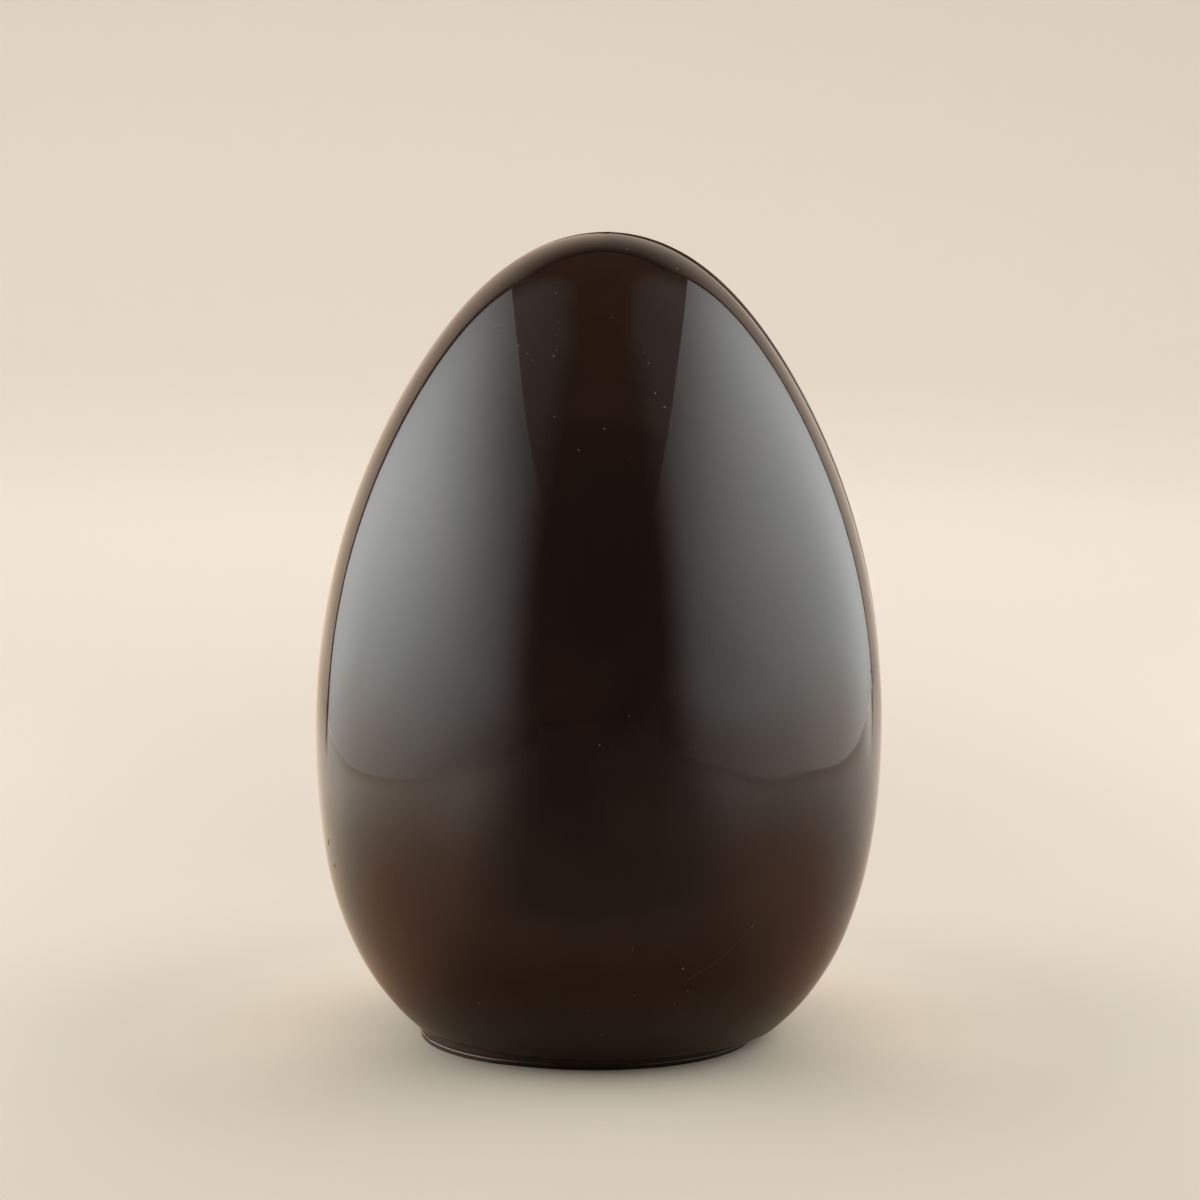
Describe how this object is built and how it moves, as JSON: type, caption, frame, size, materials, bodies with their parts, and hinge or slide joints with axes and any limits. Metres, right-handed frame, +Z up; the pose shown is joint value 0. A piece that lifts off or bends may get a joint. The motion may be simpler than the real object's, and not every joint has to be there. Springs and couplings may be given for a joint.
{
  "type": "chocolate egg",
  "caption": "Tall glossy moulded egg of dark chocolate: a front and a rear half joined at an upright seam, cut flat below and standing on a thin round chocolate foot.",
  "frame": {"origin": "on the surface that the egg stands on, under the middle of the egg where it is widest", "axes": "+Z up through the egg's height, -Y towards the front half, +X to the right of someone who faces the front half"},
  "size_m": [0.1056, 0.1058, 0.1502],
  "materials": {
    "dark_chocolate_shell": "very glossy moulded dark chocolate, with faint cloudy patches and pinholes",
    "dark_chocolate_foot": "glossy hand-poured dark chocolate, slightly uneven"
  },
  "bodies": {
    "root": {"half_front": "dark_chocolate_shell", "half_rear": "dark_chocolate_shell", "foot": "dark_chocolate_foot"}
  },
  "joints": []
}
